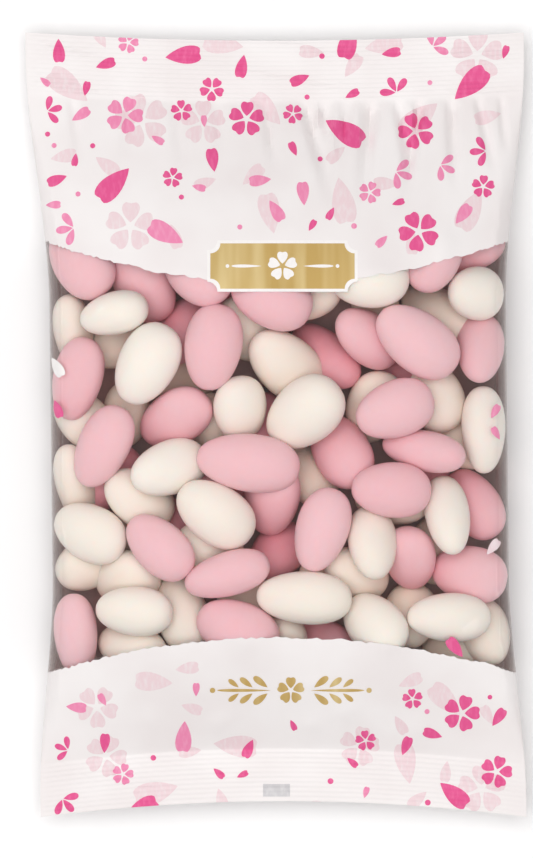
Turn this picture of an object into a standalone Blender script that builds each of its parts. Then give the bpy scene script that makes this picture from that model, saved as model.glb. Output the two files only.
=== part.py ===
"""A sealed pillow bag of sugared almonds, lying on its back with its front up.

Metres, +Z up. The origin is under the middle of the bag, on the surface it lies on.
+Y points to the top seal and +X to the right of the bag's front.
"""

import math

import bmesh
import bpy
import numpy as np
from mathutils import Matrix, Vector

MM = 0.001

# Whole bag
bag_length = 236 * MM
top_seal_width = 150 * MM
belly_width = 137 * MM
foot_width = 146 * MM
belly_height = 35 * MM
lean = -0.0115              # the middle line leans a little to one side down its length
lean_start = 1.0 * MM
top_spread = (36 * MM, 112 * MM)     # where the sides widen towards the top seal
foot_spread = (46 * MM, 112 * MM)

# Crimped seals
top_seal_depth = 18 * MM
foot_seal_depth = 16 * MM
seal_thickness = 1.2 * MM
rib_pitch = 2.0 * MM
rib_height = 0.30 * MM
top_seal_height = 9 * MM
foot_seal_height = 12 * MM
top_seal_start = bag_length / 2 - top_seal_depth
foot_seal_end = -bag_length / 2 + foot_seal_depth
top_edge_bow = -2.5 * MM
foot_edge_bow = 4.8 * MM
bow_start = 65 * MM

# Filled belly between the seals
fold_height = 16 * MM       # height of the side folds, where the bag is widest
belly_drop = 17.5 * MM      # more than the fold height, so the underside is pressed flat
front_squareness = 2.6
back_squareness = 3.2
full_from = -55 * MM
full_to = 32 * MM
slope_power = 1.15          # how gently the belly runs out at the seals
fold_drop_start = 35 * MM

# Gathers that run down from the top seal: place, slant, half width, depth
gathers = (
    (-46 * MM, 0.10, 9 * MM, 1.6 * MM),
    (-8 * MM, -0.12, 8 * MM, 2.2 * MM),
    (20 * MM, 0.16, 7 * MM, 2.4 * MM),
    (50 * MM, -0.10, 9 * MM, 2.0 * MM),
)
gather_end = 52 * MM
gather_full = 10 * MM       # full depth from here to the seal
gather_stop = 4 * MM

# Clear window between the two printed ends
window_top_side = 55 * MM
window_top_middle = 42 * MM
window_foot_side = -74.5 * MM
window_foot_middle = -63.5 * MM
wall = 1.2 * MM
gap = 0.3 * MM
core_depth = 10 * MM        # the heap's core lies this far under the film

# Almonds
almond_thickness = 0.73     # of its width
least_thickness = 12 * MM   # one that looks slim lies on its edge
almond_taper = 0.11
almond_sides = 8
almond_rings = 6
sink_step = 0.4 * MM
touch_limit = 0.94          # how near almonds come, as a share of their size
film_lean_limit = math.radians(32)
film_rim = 0.96             # past this share of the width the film bulges round the almonds

# Place in the window, length, width (all mm) and turn of the long axis in degrees,
# from the ones against the film down to those seen between them
front_almonds = (
    (-8.2, -11.4, 31.0, 17.2, -7), (8.7, 3.5, 26.4, 19.4, 40), (42.3, 24.9, 28.2, 18.2, -36),
    (35.6, 4.5, 24.2, 16.8, 20), (34.5, -19.5, 24.0, 16.6, -3), (-34.6, -36.6, 23.8, 15.4, -43),
    (-14.5, -44.7, 26.2, 13.2, 16), (-32.0, -13.0, 24.8, 16.4, 20), (-48.3, 33.2, 21.2, 12.8, 14),
    (-38.4, 18.1, 26.0, 17.6, 62), (-42.3, -55.8, 23.4, 14.8, -3), (51.8, -57.7, 25.6, 14.8, -2),
    (51.4, -27.2, 25.6, 13.4, 92), (28.9, -35.4, 23.6, 15.0, 92), (8.5, -51.7, 28.6, 16.1, -3),
    (28.0, 43.8, 24.0, 18.2, 3), (60.6, 39.3, 17.6, 16.6, 0),
)
middle_almonds = (
    (-57.0, 13.7, 25.4, 15.2, 75), (-51.6, -6.6, 26.2, 15.8, 63), (-18.7, 23.1, 26.0, 17.5, 82),
    (13.8, -31.4, 25.6, 15.8, 73), (-58.2, 48.8, 25.4, 17.6, -52), (-23.4, 45.5, 24.0, 17.6, -45),
    (-1.2, 37.7, 25.2, 18.0, -22), (47.0, 51.0, 24.6, 18.0, 75), (-30.0, 1.9, 25.4, 16.8, 33),
    (-1.2, -21.6, 25.2, 17.6, 80), (44.3, -7.8, 26.0, 12.0, -12), (61.3, 22.9, 23.6, 14.4, 70),
    (40.2, -40.0, 20.6, 16.0, 100), (-11.3, -61.6, 26.0, 18.0, -25), (-60.8, -63.3, 25.4, 13.4, 92),
    (57.0, -44.9, 23.0, 17.0, -12), (3.0, 17.9, 27.6, 18.4, -42), (-10.6, 4.6, 20.8, 17.0, 95),
    (62.0, -1.6, 26.2, 13.6, 91), (-54.0, -32.4, 23.6, 16.8, -25), (29.7, -60.0, 22.0, 17.2, -42),
    (-43.0, -67.3, 23.6, 15.2, -8), (-61.6, 27.5, 24.0, 11.4, 90), (-61.6, -18.5, 27.2, 11.6, 88),
)
lower_almonds = (
    (-18.0, -26.6, 25.8, 17.8, -35), (-41.0, -22.3, 23.6, 17.2, -35), (49.0, 33.8, 25.2, 16.0, -35),
    (-40.3, 43.0, 27.0, 18.4, -65), (15.0, 20.8, 26.6, 14.8, -45), (19.6, -7.9, 25.4, 17.4, -60),
    (60.0, -23.9, 23.6, 15.2, -66), (27.4, 26.0, 24.0, 16.4, -33), (58.0, 53.0, 22.0, 14.0, 20),
    (48.2, 8.2, 21.6, 17.2, -70), (29.6, 5.2, 23.6, 17.2, 75), (-28.0, -56.8, 24.6, 16.0, -72),
    (-44.5, -46.5, 21.6, 18.0, 30), (-59.0, -42.4, 17.6, 15.4, 30), (9.5, 39.5, 22.0, 16.4, 20),
    (-58.8, 1.8, 21.0, 15.0, -50), (59.0, -62.5, 21.0, 15.0, 100),
)
deep_almonds = (
    (-50.5, -16.5, 24.0, 15.6, 48), (-27.5, 28.0, 22.0, 16.0, 75), (1.0, -38.0, 21.0, 16.0, 45),
    (-48.0, 24.0, 20.0, 15.0, 20), (-9.0, 29.0, 22.0, 16.0, -60), (-20.0, -37.0, 22.0, 16.0, -20),
    (10.0, -15.0, 22.0, 16.0, -60), (35.0, -22.5, 23.0, 15.0, -3), (40.5, -57.5, 20.4, 16.0, 80),
    (24.0, -44.5, 22.4, 15.0, -25), (14.5, -66.5, 20.0, 16.0, -15),
)
almond_layers = (           # each with how far its almonds may sink under the film
    (front_almonds, 0.8 * MM),
    (middle_almonds, 3.0 * MM),
    (lower_almonds, 5.5 * MM),
    (deep_almonds, 7.0 * MM),
)


def smooth_step(low, high, value):
    """Goes from 0 at low to 1 at high, level at both ends."""
    t = np.clip((value - low) / (high - low), 0, 1)
    return t * t * (3 - 2 * t)


def middle_line(y):
    return lean_start + lean * y


def half_width(y):
    top_gain = smooth_step(*top_spread, y) * (top_seal_width - belly_width)
    foot_gain = smooth_step(*foot_spread, -y) * (foot_width - belly_width)
    return (belly_width + top_gain + foot_gain) / 2


def fullness(y):
    """0 at both seals and 1 along the full belly."""
    toward_top = np.clip((top_seal_start - y) / (top_seal_start - full_to), 0, 1)
    toward_foot = np.clip((y - foot_seal_end) / (full_from - foot_seal_end), 0, 1)
    share = np.minimum(toward_top, toward_foot)
    return np.sin(share * math.pi / 2) ** slope_power


def side_fold(y):
    """Height of the side folds, and of the seals at both ends."""
    to_top = smooth_step(fold_drop_start, top_seal_start, y)
    to_foot = smooth_step(fold_drop_start, -foot_seal_end, -y)
    top_change = to_top * (top_seal_height - fold_height)
    foot_change = to_foot * (foot_seal_height - fold_height)
    return fold_height + top_change + foot_change


def gather_relief(x, y):
    """How far the gathers under the top seal dent the front."""
    fade_in = smooth_step(gather_end, top_seal_start - gather_full, y)
    fade_out = 1 - smooth_step(top_seal_start - gather_stop, top_seal_start, y)
    dent = 0
    for place, slant, half, depth in gathers:
        off = np.abs(x - place - slant * (top_seal_start - y)) / half
        dent = dent + depth * np.clip(1 - off, 0, 1) ** 2
    return dent * fade_in * fade_out


def front_height(x, y, inset=0.0, rim=1.0):
    """Height of the bag's front over a point, level beyond the rim."""
    u = np.clip(np.abs(x - middle_line(y)) / (half_width(y) - inset), 0, rim)
    rise = (belly_height - fold_height) * fullness(y) + seal_thickness / 2 - inset
    arch = (1 - u ** front_squareness) ** (1 / front_squareness)
    return side_fold(y) + rise * arch - gather_relief(x, y)


def back_height(x, y, inset=0.0):
    """Height of the bag's underside over a point, pressed flat where it lies."""
    u = np.clip(np.abs(x - middle_line(y)) / (half_width(y) - inset), 0, 1)
    drop = belly_drop * fullness(y) + seal_thickness / 2 - inset
    arch = (1 - u ** back_squareness) ** (1 / back_squareness)
    return np.maximum(side_fold(y) - drop * arch, inset)


def edge_bow(y):
    """How far the seals' edges bow in at the middle of the bag."""
    to_top = smooth_step(bow_start, top_seal_start, y)
    to_foot = smooth_step(bow_start, -foot_seal_end, -y)
    return top_edge_bow * to_top + foot_edge_bow * to_foot


def make_material(name, colour, roughness):
    material = bpy.data.materials.new(name)
    material.use_nodes = True
    shader = material.node_tree.nodes["Principled BSDF"]
    shader.inputs["Base Color"].default_value = (*colour, 1)
    shader.inputs["Roughness"].default_value = roughness
    shader.inputs["Metallic"].default_value = 0
    return material


def make_object(name, bm, material=None):
    bmesh.ops.recalc_face_normals(bm, faces=bm.faces)
    mesh = bpy.data.meshes.new(name)
    bm.to_mesh(mesh)
    bm.free()
    if material:
        mesh.materials.append(material)
    piece = bpy.data.objects.new(name, mesh)
    bpy.context.scene.collection.objects.link(piece)
    return piece


def apply_boolean(target, operation, other, solver="EXACT"):
    """Joins or cuts target with one object, applies it and removes the other."""
    modifier = target.modifiers.new(operation, "BOOLEAN")
    modifier.operation = operation
    modifier.solver = solver
    modifier.object = other
    bpy.context.view_layer.objects.active = target
    bpy.ops.object.modifier_apply(modifier=modifier.name)
    bpy.data.objects.remove(other)


def bag_stations():
    """Places along Y of the bag's sections, with the crimp's height at each."""
    body_steps = 22
    stations = []
    for start, depth in ((-bag_length / 2, foot_seal_depth), (top_seal_start, top_seal_depth)):
        count = round(depth / rib_pitch) * 2
        for step in range(count + 1):
            crimp = rib_height if step % 2 else -rib_height
            stations.append((start + depth * step / count, crimp))
    for step in range(1, body_steps):
        share = step / body_steps
        stations.append((foot_seal_end + (top_seal_start - foot_seal_end) * share, 0))
    return sorted(stations)


def build_pillow():
    """The closed outer skin, lofted from the foot seal to the top seal."""
    half_ring = 18
    bm = bmesh.new()
    rings = []
    for y, crimp in bag_stations():
        ring = []
        for step in range(2 * half_ring):
            across = math.cos(math.pi * step / half_ring)
            x = middle_line(y) + across * half_width(y)
            height = front_height if step < half_ring else back_height
            z = max(float(height(x, y)) + crimp, 0)
            ring.append(bm.verts.new((x, y + edge_bow(y) * (1 - across ** 2), z)))
        rings.append(ring)
    for lower, upper in zip(rings, rings[1:]):
        for step, corner in enumerate(lower):
            following = (step + 1) % len(lower)
            bm.faces.new((corner, lower[following], upper[following], upper[step]))
    for end in (rings[0], rings[-1]):
        for step in range(half_ring):
            front = end[step], end[step + 1]
            back = end[-step - 1], end[-step]
            bm.faces.new(dict.fromkeys((*front, *back)))
    bmesh.ops.triangulate(bm, faces=bm.faces)
    return bm


def window_edges(x):
    """The clear window's lower and upper edge at a place across the bag."""
    side = (x / (belly_width / 2)) ** 2
    lower = window_foot_middle + (window_foot_side - window_foot_middle) * side
    upper = window_top_middle + (window_top_side - window_top_middle) * side
    return lower, upper


def build_window_block(inset, ceiling):
    """What lies in the window between the back and a ceiling, clear of the bag's wall."""
    columns = 18
    rows = 10
    bm = bmesh.new()
    floor, top = [], []
    for column in range(columns + 1):
        across = -math.cos(math.pi * column / columns)
        lower, upper = window_edges(across * (belly_width / 2 - inset))
        lower += inset - wall
        upper -= inset - wall
        floor_line, ceiling_line = [], []
        for row in range(rows + 1):
            y = lower + (upper - lower) * row / rows
            x = middle_line(y) + across * (half_width(y) - inset)
            floor_z = float(back_height(x, y, inset))
            top_z = max(float(ceiling(x, y)), floor_z + gap)
            floor_line.append(bm.verts.new((x, y, floor_z)))
            ceiling_line.append(bm.verts.new((x, y, top_z)))
        floor.append(floor_line)
        top.append(ceiling_line)
    for layer in (floor, top):
        for line, following in zip(layer, layer[1:]):
            for row in range(rows):
                bm.faces.new((line[row], line[row + 1], following[row + 1], following[row]))
    rim = [(column, 0) for column in range(columns)]
    rim += [(columns, row) for row in range(rows)]
    rim += [(column, rows) for column in range(columns, 0, -1)]
    rim += [(0, row) for row in range(rows, 0, -1)]
    for (column, row), (next_column, next_row) in zip(rim, rim[1:] + rim[:1]):
        bm.faces.new((floor[column][row], floor[next_column][next_row],
                      top[next_column][next_row], top[column][row]))
    bmesh.ops.triangulate(bm, faces=bm.faces)
    return bm


def open_ceiling(x, y):
    return 2 * belly_height


def core_ceiling(x, y):
    return front_height(x, y) - core_depth


def almond_directions():
    """Points over a unit almond: a ball drawn out a little fuller towards one end."""
    points = [(1, 0, 0)]
    for ring in range(1, almond_rings):
        along = math.cos(math.pi * ring / almond_rings)
        around = math.sin(math.pi * ring / almond_rings) * (1 + almond_taper * along)
        for side in range(almond_sides):
            angle = 2 * math.pi * (side + 0.5 * (ring % 2)) / almond_sides
            points.append((along, around * math.cos(angle), around * math.sin(angle)))
    points.append((-1, 0, 0))
    return np.array(points)


def film_tilt(x, y):
    """Turns level things to lie along the film over a point."""
    step = 2 * MM
    slope_x = float(front_height(x + step, y) - front_height(x - step, y)) / (2 * step)
    slope_y = float(front_height(x, y + step) - front_height(x, y - step)) / (2 * step)
    slope = Vector((slope_x, slope_y, 0))
    if slope.length < 1e-6:
        return Matrix.Identity(3)
    angle = min(math.atan(slope.length), film_lean_limit)
    axis = Vector((0, 0, 1)).cross(-slope).normalized()
    return Matrix.Rotation(angle, 3, axis)


def is_inside(points, other):
    """Whether any of the points lies inside another almond."""
    local = (points - other["middle"]) @ other["turn"] / other["size"]
    along = np.clip(local[:, 0], -1, 1)
    around = np.hypot(local[:, 1], local[:, 2]) / (1 + almond_taper * along)
    return bool(np.any(along ** 2 + around ** 2 < touch_limit))


def place_almonds():
    """Lets each almond rise to the film, or to just under those already there."""
    directions = almond_directions()
    placed = []
    for almonds, deepest in almond_layers:
        for x, y, length, width, turn in almonds:
            x, y = x * MM, y * MM
            thickness = max(width * almond_thickness, least_thickness / MM)
            size = np.array((length, width, thickness)) * MM / 2
            turned = np.array(film_tilt(x, y) @ Matrix.Rotation(math.radians(turn), 3, "Z"))
            shape = directions * size @ turned.T
            film = front_height(x + shape[:, 0], y + shape[:, 1], wall, film_rim)
            middle = np.array((x, y, float(np.min(film - shape[:, 2]))))
            lowest = middle[2] - deepest
            almond = {"size": size, "turn": turned, "middle": middle}
            near = [other for other in placed
                    if np.hypot(*(other["middle"] - middle)[:2]) < size[0] + other["size"][0]]
            while middle[2] > lowest:
                surface = middle + shape
                if not any(is_inside(surface, other) or is_inside(other["surface"], almond)
                           for other in near):
                    break
                middle[2] -= sink_step
            almond["surface"] = middle + shape
            placed.append(almond)
    return placed


def build_almond(surface):
    bm = bmesh.new()
    corners = [bm.verts.new(point) for point in surface]
    first, last = corners[0], corners[-1]
    rings = [corners[1 + ring * almond_sides:1 + (ring + 1) * almond_sides]
             for ring in range(almond_rings - 1)]
    for side in range(almond_sides):
        following = (side + 1) % almond_sides
        bm.faces.new((first, rings[0][side], rings[0][following]))
        bm.faces.new((last, rings[-1][following], rings[-1][side]))
    for ring, (upper, lower) in enumerate(zip(rings, rings[1:])):
        lead = 1 if ring % 2 == 0 else 0
        for side in range(almond_sides):
            following = (side + 1) % almond_sides
            if lead:
                bm.faces.new((upper[side], lower[side], upper[following]))
                bm.faces.new((upper[following], lower[side], lower[following]))
            else:
                bm.faces.new((upper[side], lower[side], lower[following]))
                bm.faces.new((upper[side], lower[following], upper[following]))
    return bm


def keep_largest_body(piece):
    """Drops loose scraps and the skins of sealed hollows."""
    bm = bmesh.new()
    bm.from_mesh(piece.data)
    unseen = set(bm.verts)
    bodies = []
    while unseen:
        body = set()
        edge_of_body = [unseen.pop()]
        while edge_of_body:
            vert = edge_of_body.pop()
            body.add(vert)
            for edge in vert.link_edges:
                neighbour = edge.other_vert(vert)
                if neighbour in unseen:
                    unseen.remove(neighbour)
                    edge_of_body.append(neighbour)
        bodies.append(body)
    bodies.sort(key=len, reverse=True)
    scraps = [vert for body in bodies[1:] for vert in body]
    bmesh.ops.delete(bm, geom=scraps, context="VERTS")
    bmesh.ops.triangulate(bm, faces=bm.faces)
    bm.to_mesh(piece.data)
    bm.free()


def build_bag():
    printed_film = make_material("printed film", (0.87, 0.84, 0.83), 0.35)
    bag = make_object("bag", build_pillow(), printed_film)
    cutter = make_object("window cutter", build_window_block(wall, open_ceiling))
    apply_boolean(bag, "DIFFERENCE", cutter)
    keep_largest_body(bag)
    bag.data.shade_smooth()
    bag.data.set_sharp_from_angle(angle=math.radians(40))
    return bag


def build_almonds():
    sugar_shell = make_material("sugar shell", (0.84, 0.62, 0.60), 0.45)
    heap = make_object("almonds", build_window_block(wall + 2 * gap, core_ceiling), sugar_shell)
    loose = bpy.data.collections.new("loose almonds")
    bpy.context.scene.collection.children.link(loose)
    for number, almond in enumerate(place_almonds()):
        piece = make_object(f"almond {number}", build_almond(almond["surface"]), sugar_shell)
        bpy.context.scene.collection.objects.unlink(piece)
        loose.objects.link(piece)
    union = heap.modifiers.new("union", "BOOLEAN")
    union.operation = "UNION"
    union.operand_type = "COLLECTION"
    union.collection = loose
    bpy.context.view_layer.objects.active = heap
    bpy.ops.object.modifier_apply(modifier=union.name)
    for piece in list(loose.objects):
        bpy.data.objects.remove(piece)
    bpy.data.collections.remove(loose)
    limits = make_object("window limits", build_window_block(wall + gap, open_ceiling))
    apply_boolean(heap, "INTERSECT", limits)
    keep_largest_body(heap)
    heap.data.shade_smooth()
    heap.data.set_sharp_from_angle(angle=math.radians(50))
    return heap


def main():
    for piece in list(bpy.data.objects):
        bpy.data.objects.remove(piece)
    build_bag()
    build_almonds()


main()
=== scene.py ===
import math

import bmesh
import bpy
import numpy as np
from mathutils import Matrix, Vector


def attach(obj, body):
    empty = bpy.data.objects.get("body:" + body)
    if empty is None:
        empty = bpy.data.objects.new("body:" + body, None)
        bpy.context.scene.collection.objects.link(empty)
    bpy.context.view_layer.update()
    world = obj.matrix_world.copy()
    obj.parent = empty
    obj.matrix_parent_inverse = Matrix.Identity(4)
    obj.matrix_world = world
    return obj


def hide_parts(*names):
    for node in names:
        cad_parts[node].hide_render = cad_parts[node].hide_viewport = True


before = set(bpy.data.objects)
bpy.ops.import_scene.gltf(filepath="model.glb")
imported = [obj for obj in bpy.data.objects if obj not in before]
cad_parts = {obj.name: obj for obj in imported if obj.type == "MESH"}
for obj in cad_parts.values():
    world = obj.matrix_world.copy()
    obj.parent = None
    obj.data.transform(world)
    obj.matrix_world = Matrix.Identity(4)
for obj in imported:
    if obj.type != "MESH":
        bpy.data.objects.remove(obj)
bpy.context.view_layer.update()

mm = 0.001


# Small helpers

def toLinear(hexColour):
    parts = [int(hexColour[place:place + 2], 16) / 255 for place in (1, 3, 5)]
    return [part / 12.92 if part <= 0.04045 else ((part + 0.055) / 1.055) ** 2.4 for part in parts] + [1]


def addNode(owner, kind, values=None, links=None, stops=(), **settings):
    node = owner.node_tree.nodes.new("ShaderNode" + kind)
    for setting, value in settings.items():
        setattr(node, setting, value)
    for socket, value in (values or {}).items():
        node.inputs[socket].default_value = value
    for socket, source in (links or {}).items():
        owner.node_tree.links.new(source, node.inputs[socket])
    if stops:
        # a new ramp already has a stop at each end
        ramp = node.color_ramp.elements
        for end, (position, colour) in zip(ramp, (stops[0], stops[-1])):
            end.position = position
            end.color = colour
        for position, colour in stops[1:-1]:
            ramp.new(position).color = colour
    return node


def newMaterial(name, values=None):
    material = bpy.data.materials.new(name)
    material.use_nodes = True
    shader = material.node_tree.nodes["Principled BSDF"]
    for socket, value in (values or {}).items():
        shader.inputs[socket].default_value = value
    return material, shader


def smoothStep(low, high, value):
    t = np.clip((value - low) / (high - low), 0, 1)
    return t * t * (3 - 2 * t)


def makeActive(*pieces):
    for thing in bpy.context.selected_objects:
        thing.select_set(False)
    for piece in pieces:
        piece.select_set(True)
    bpy.context.view_layer.objects.active = pieces[0]


def newPiece(name, mesh):
    piece = bpy.data.objects.new(name, mesh)
    bpy.context.scene.collection.objects.link(piece)
    return piece


def pieceFromMesh(name, points, faces):
    mesh = bpy.data.meshes.new(name)
    mesh.from_pydata(points, [], faces)
    return newPiece(name, mesh)


def applyModifier(piece, kind, **settings):
    modifier = piece.modifiers.new(kind, kind)
    for setting, value in settings.items():
        setattr(modifier, setting, value)
    makeActive(piece)
    bpy.ops.object.modifier_apply(modifier=modifier.name)


# The bag's form in mm, with the CAD's own numbers

bagForm = {
    "length": 236.0,
    "topSealWidth": 150.0,
    "bellyWidth": 137.0,
    "footWidth": 146.0,
    "bellyHeight": 35.0,
    "lean": -0.0115,
    "leanStart": 1.0,
    "topSpread": (36.0, 112.0),
    "footSpread": (46.0, 112.0),
    "topSealDepth": 18.0,
    "footSealDepth": 16.0,
    "cadSealHalf": 0.6,
    "topSealHeight": 9.0,
    "footSealHeight": 12.0,
    "topEdgeBow": -2.5,
    "footEdgeBow": 4.8,
    "bowStart": 65.0,
    "foldHeight": 16.0,
    "bellyDrop": 17.5,
    "frontSquareness": 2.6,
    "backSquareness": 3.2,
    "fullFrom": -55.0,
    "fullTo": 32.0,
    "slopePower": 1.15,
    "foldDropStart": 35.0,
    "gatherFade": (10, 4),  # mm before the top seal at which gathers are full, and start to close
    "windowFoot": (-63.5, -74.5),  # in the middle and at the sides
    "windowTop": (42.0, 55.0),
    "wall": 1.2,
}
topSealStart = bagForm["length"] / 2 - bagForm["topSealDepth"]
footSealEnd = -bagForm["length"] / 2 + bagForm["footSealDepth"]

# Gathers that run down from the top seal: place, slant, half width, depth, how far down they reach
cadGathers = (
    (-46, 0.10, 9, 1.6, 52), (-8, -0.12, 8, 2.2, 52), (20, 0.16, 7, 2.4, 52), (50, -0.10, 9, 2.0, 52),
)
fineGathers = (
    (-61, 0.12, 2.6, 1, 76), (-44, -0.06, 2.2, 0.9, 80), (-30, 0.08, 2.6, 0.9, 74), (-17, -0.05, 2, 0.8, 80),
    (-3, 0.10, 2.2, 1.7, 74), (9, 0.22, 2.8, 2.6, 62), (15, 0.02, 2.2, 2.2, 70), (22, -0.16, 2.0, 1.6, 78),
    (29, -0.10, 3.0, 3.0, 58), (37, 0.14, 2.6, 2.0, 68), (44, -0.18, 2.4, 2.5, 62), (53, 0.02, 2.6, 2.0, 68),
    (61, 0.18, 2.2, 1.5, 74), (68, 0.06, 2.0, 1.0, 80),
)


def middleLine(y):
    return bagForm["leanStart"] + bagForm["lean"] * y


def halfWidth(y):
    topGain = smoothStep(*bagForm["topSpread"], y) * (bagForm["topSealWidth"] - bagForm["bellyWidth"])
    footGain = smoothStep(*bagForm["footSpread"], -y) * (bagForm["footWidth"] - bagForm["bellyWidth"])
    return (bagForm["bellyWidth"] + topGain + footGain) / 2


def fullness(y):
    towardTop = np.clip((topSealStart - y) / (topSealStart - bagForm["fullTo"]), 0, 1)
    towardFoot = np.clip((y - footSealEnd) / (bagForm["fullFrom"] - footSealEnd), 0, 1)
    return np.sin(np.minimum(towardTop, towardFoot) * math.pi / 2) ** bagForm["slopePower"]


def towardEnds(start, y):
    return smoothStep(start, topSealStart, y), smoothStep(start, -footSealEnd, -y)


def sideFold(y):
    toTop, toFoot = towardEnds(bagForm["foldDropStart"], y)
    fold = bagForm["foldHeight"]
    return fold + toTop * (bagForm["topSealHeight"] - fold) + toFoot * (bagForm["footSealHeight"] - fold)


def gatherRelief(x, y, gathers):
    full, closing = bagForm["gatherFade"]
    dent = 0
    for place, slant, half, depth, end in gathers:
        fade = smoothStep(end, topSealStart - full, y)
        fade = fade * (1 - smoothStep(topSealStart - closing, topSealStart, y))
        off = np.abs(x - place - slant * (topSealStart - y)) / half
        dent = dent + depth * np.clip(1 - off * off, 0, 1) ** 2 * fade
    return dent


def arch(x, y, inset, squareness):
    u = np.clip(np.abs(x - middleLine(y)) / (halfWidth(y) - inset), 0, 1)
    return (1 - u ** squareness) ** (1 / squareness)


def frontHeight(x, y, inset=0.0, sealHalf=bagForm["cadSealHalf"]):
    rise = (bagForm["bellyHeight"] - bagForm["foldHeight"]) * fullness(y) + sealHalf - inset
    return sideFold(y) + rise * arch(x, y, inset, bagForm["frontSquareness"]) - gatherRelief(x, y, cadGathers)


def backHeight(x, y, inset=0.0, sealHalf=bagForm["cadSealHalf"]):
    drop = bagForm["bellyDrop"] * fullness(y) + sealHalf - inset
    return np.maximum(sideFold(y) - drop * arch(x, y, inset, bagForm["backSquareness"]), inset)


def edgeBow(y):
    toTop, toFoot = towardEnds(bagForm["bowStart"], y)
    return bagForm["topEdgeBow"] * toTop + bagForm["footEdgeBow"] * toFoot


def windowEdges(x):
    side = (x / (bagForm["bellyWidth"] / 2)) ** 2
    return [middle + (edge - middle) * side for middle, edge in (bagForm["windowFoot"], bagForm["windowTop"])]


# Sugared almonds

almondForm = {
    "sides": 32,
    "rings": 18,
    "taper": 0.10,
    "blunt": 0.88,  # below 1 the ends are rounder than an ellipse's
    "thickness": 0.73,  # of its width
    "leastThickness": 12.0,
    "uneven": 0.02,  # no two are pressed alike
    "filmGap": 0.5,  # between an almond and the bag's nominal form
    "settle": 1.3,  # how far the heap has settled away from the film
    "edgeRoom": 0.7,  # between an almond and the side fold
    "edgePull": 4.5,  # one that comes this near to the fold is moved out to it
    "inward": (12, 0.3),  # tries at a place further in, and the step, until it fits in the bag
    "leanLimit": 32,
    "tips": (0, 9, -9, 18, -18, 27, -27),  # leans that are tried for one that lies under others
    "touchLimit": 0.91,  # 1 lets almonds only touch, less lets them press into each other
    "sinkStep": 0.5,
    "gapRange": ((-64, 66), (-90, 82)),
    "gapGrid": 2.0,
    "gapSizes": ((25.0, 16.5), (20.5, 14.5), (17.5, 13.0)),
    "gapThickness": 0.78,
    "gapTurn": 45,
    "gapTips": (0, 22),
    "gapSink": 5,  # in the window they start this far under the film
    "gapStep": 1.25,
    "pinkShare": 0.5,  # of those that fill gaps
    "seed": 11,
    "paintedShadeDepths": (2.0, 23.0),  # depths in mm between which painted shade makes its colour fuller and darker
    "ownColour": 0.2,  # how far almonds of one kind differ in it
    "colourSeed": 5,
}
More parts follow.
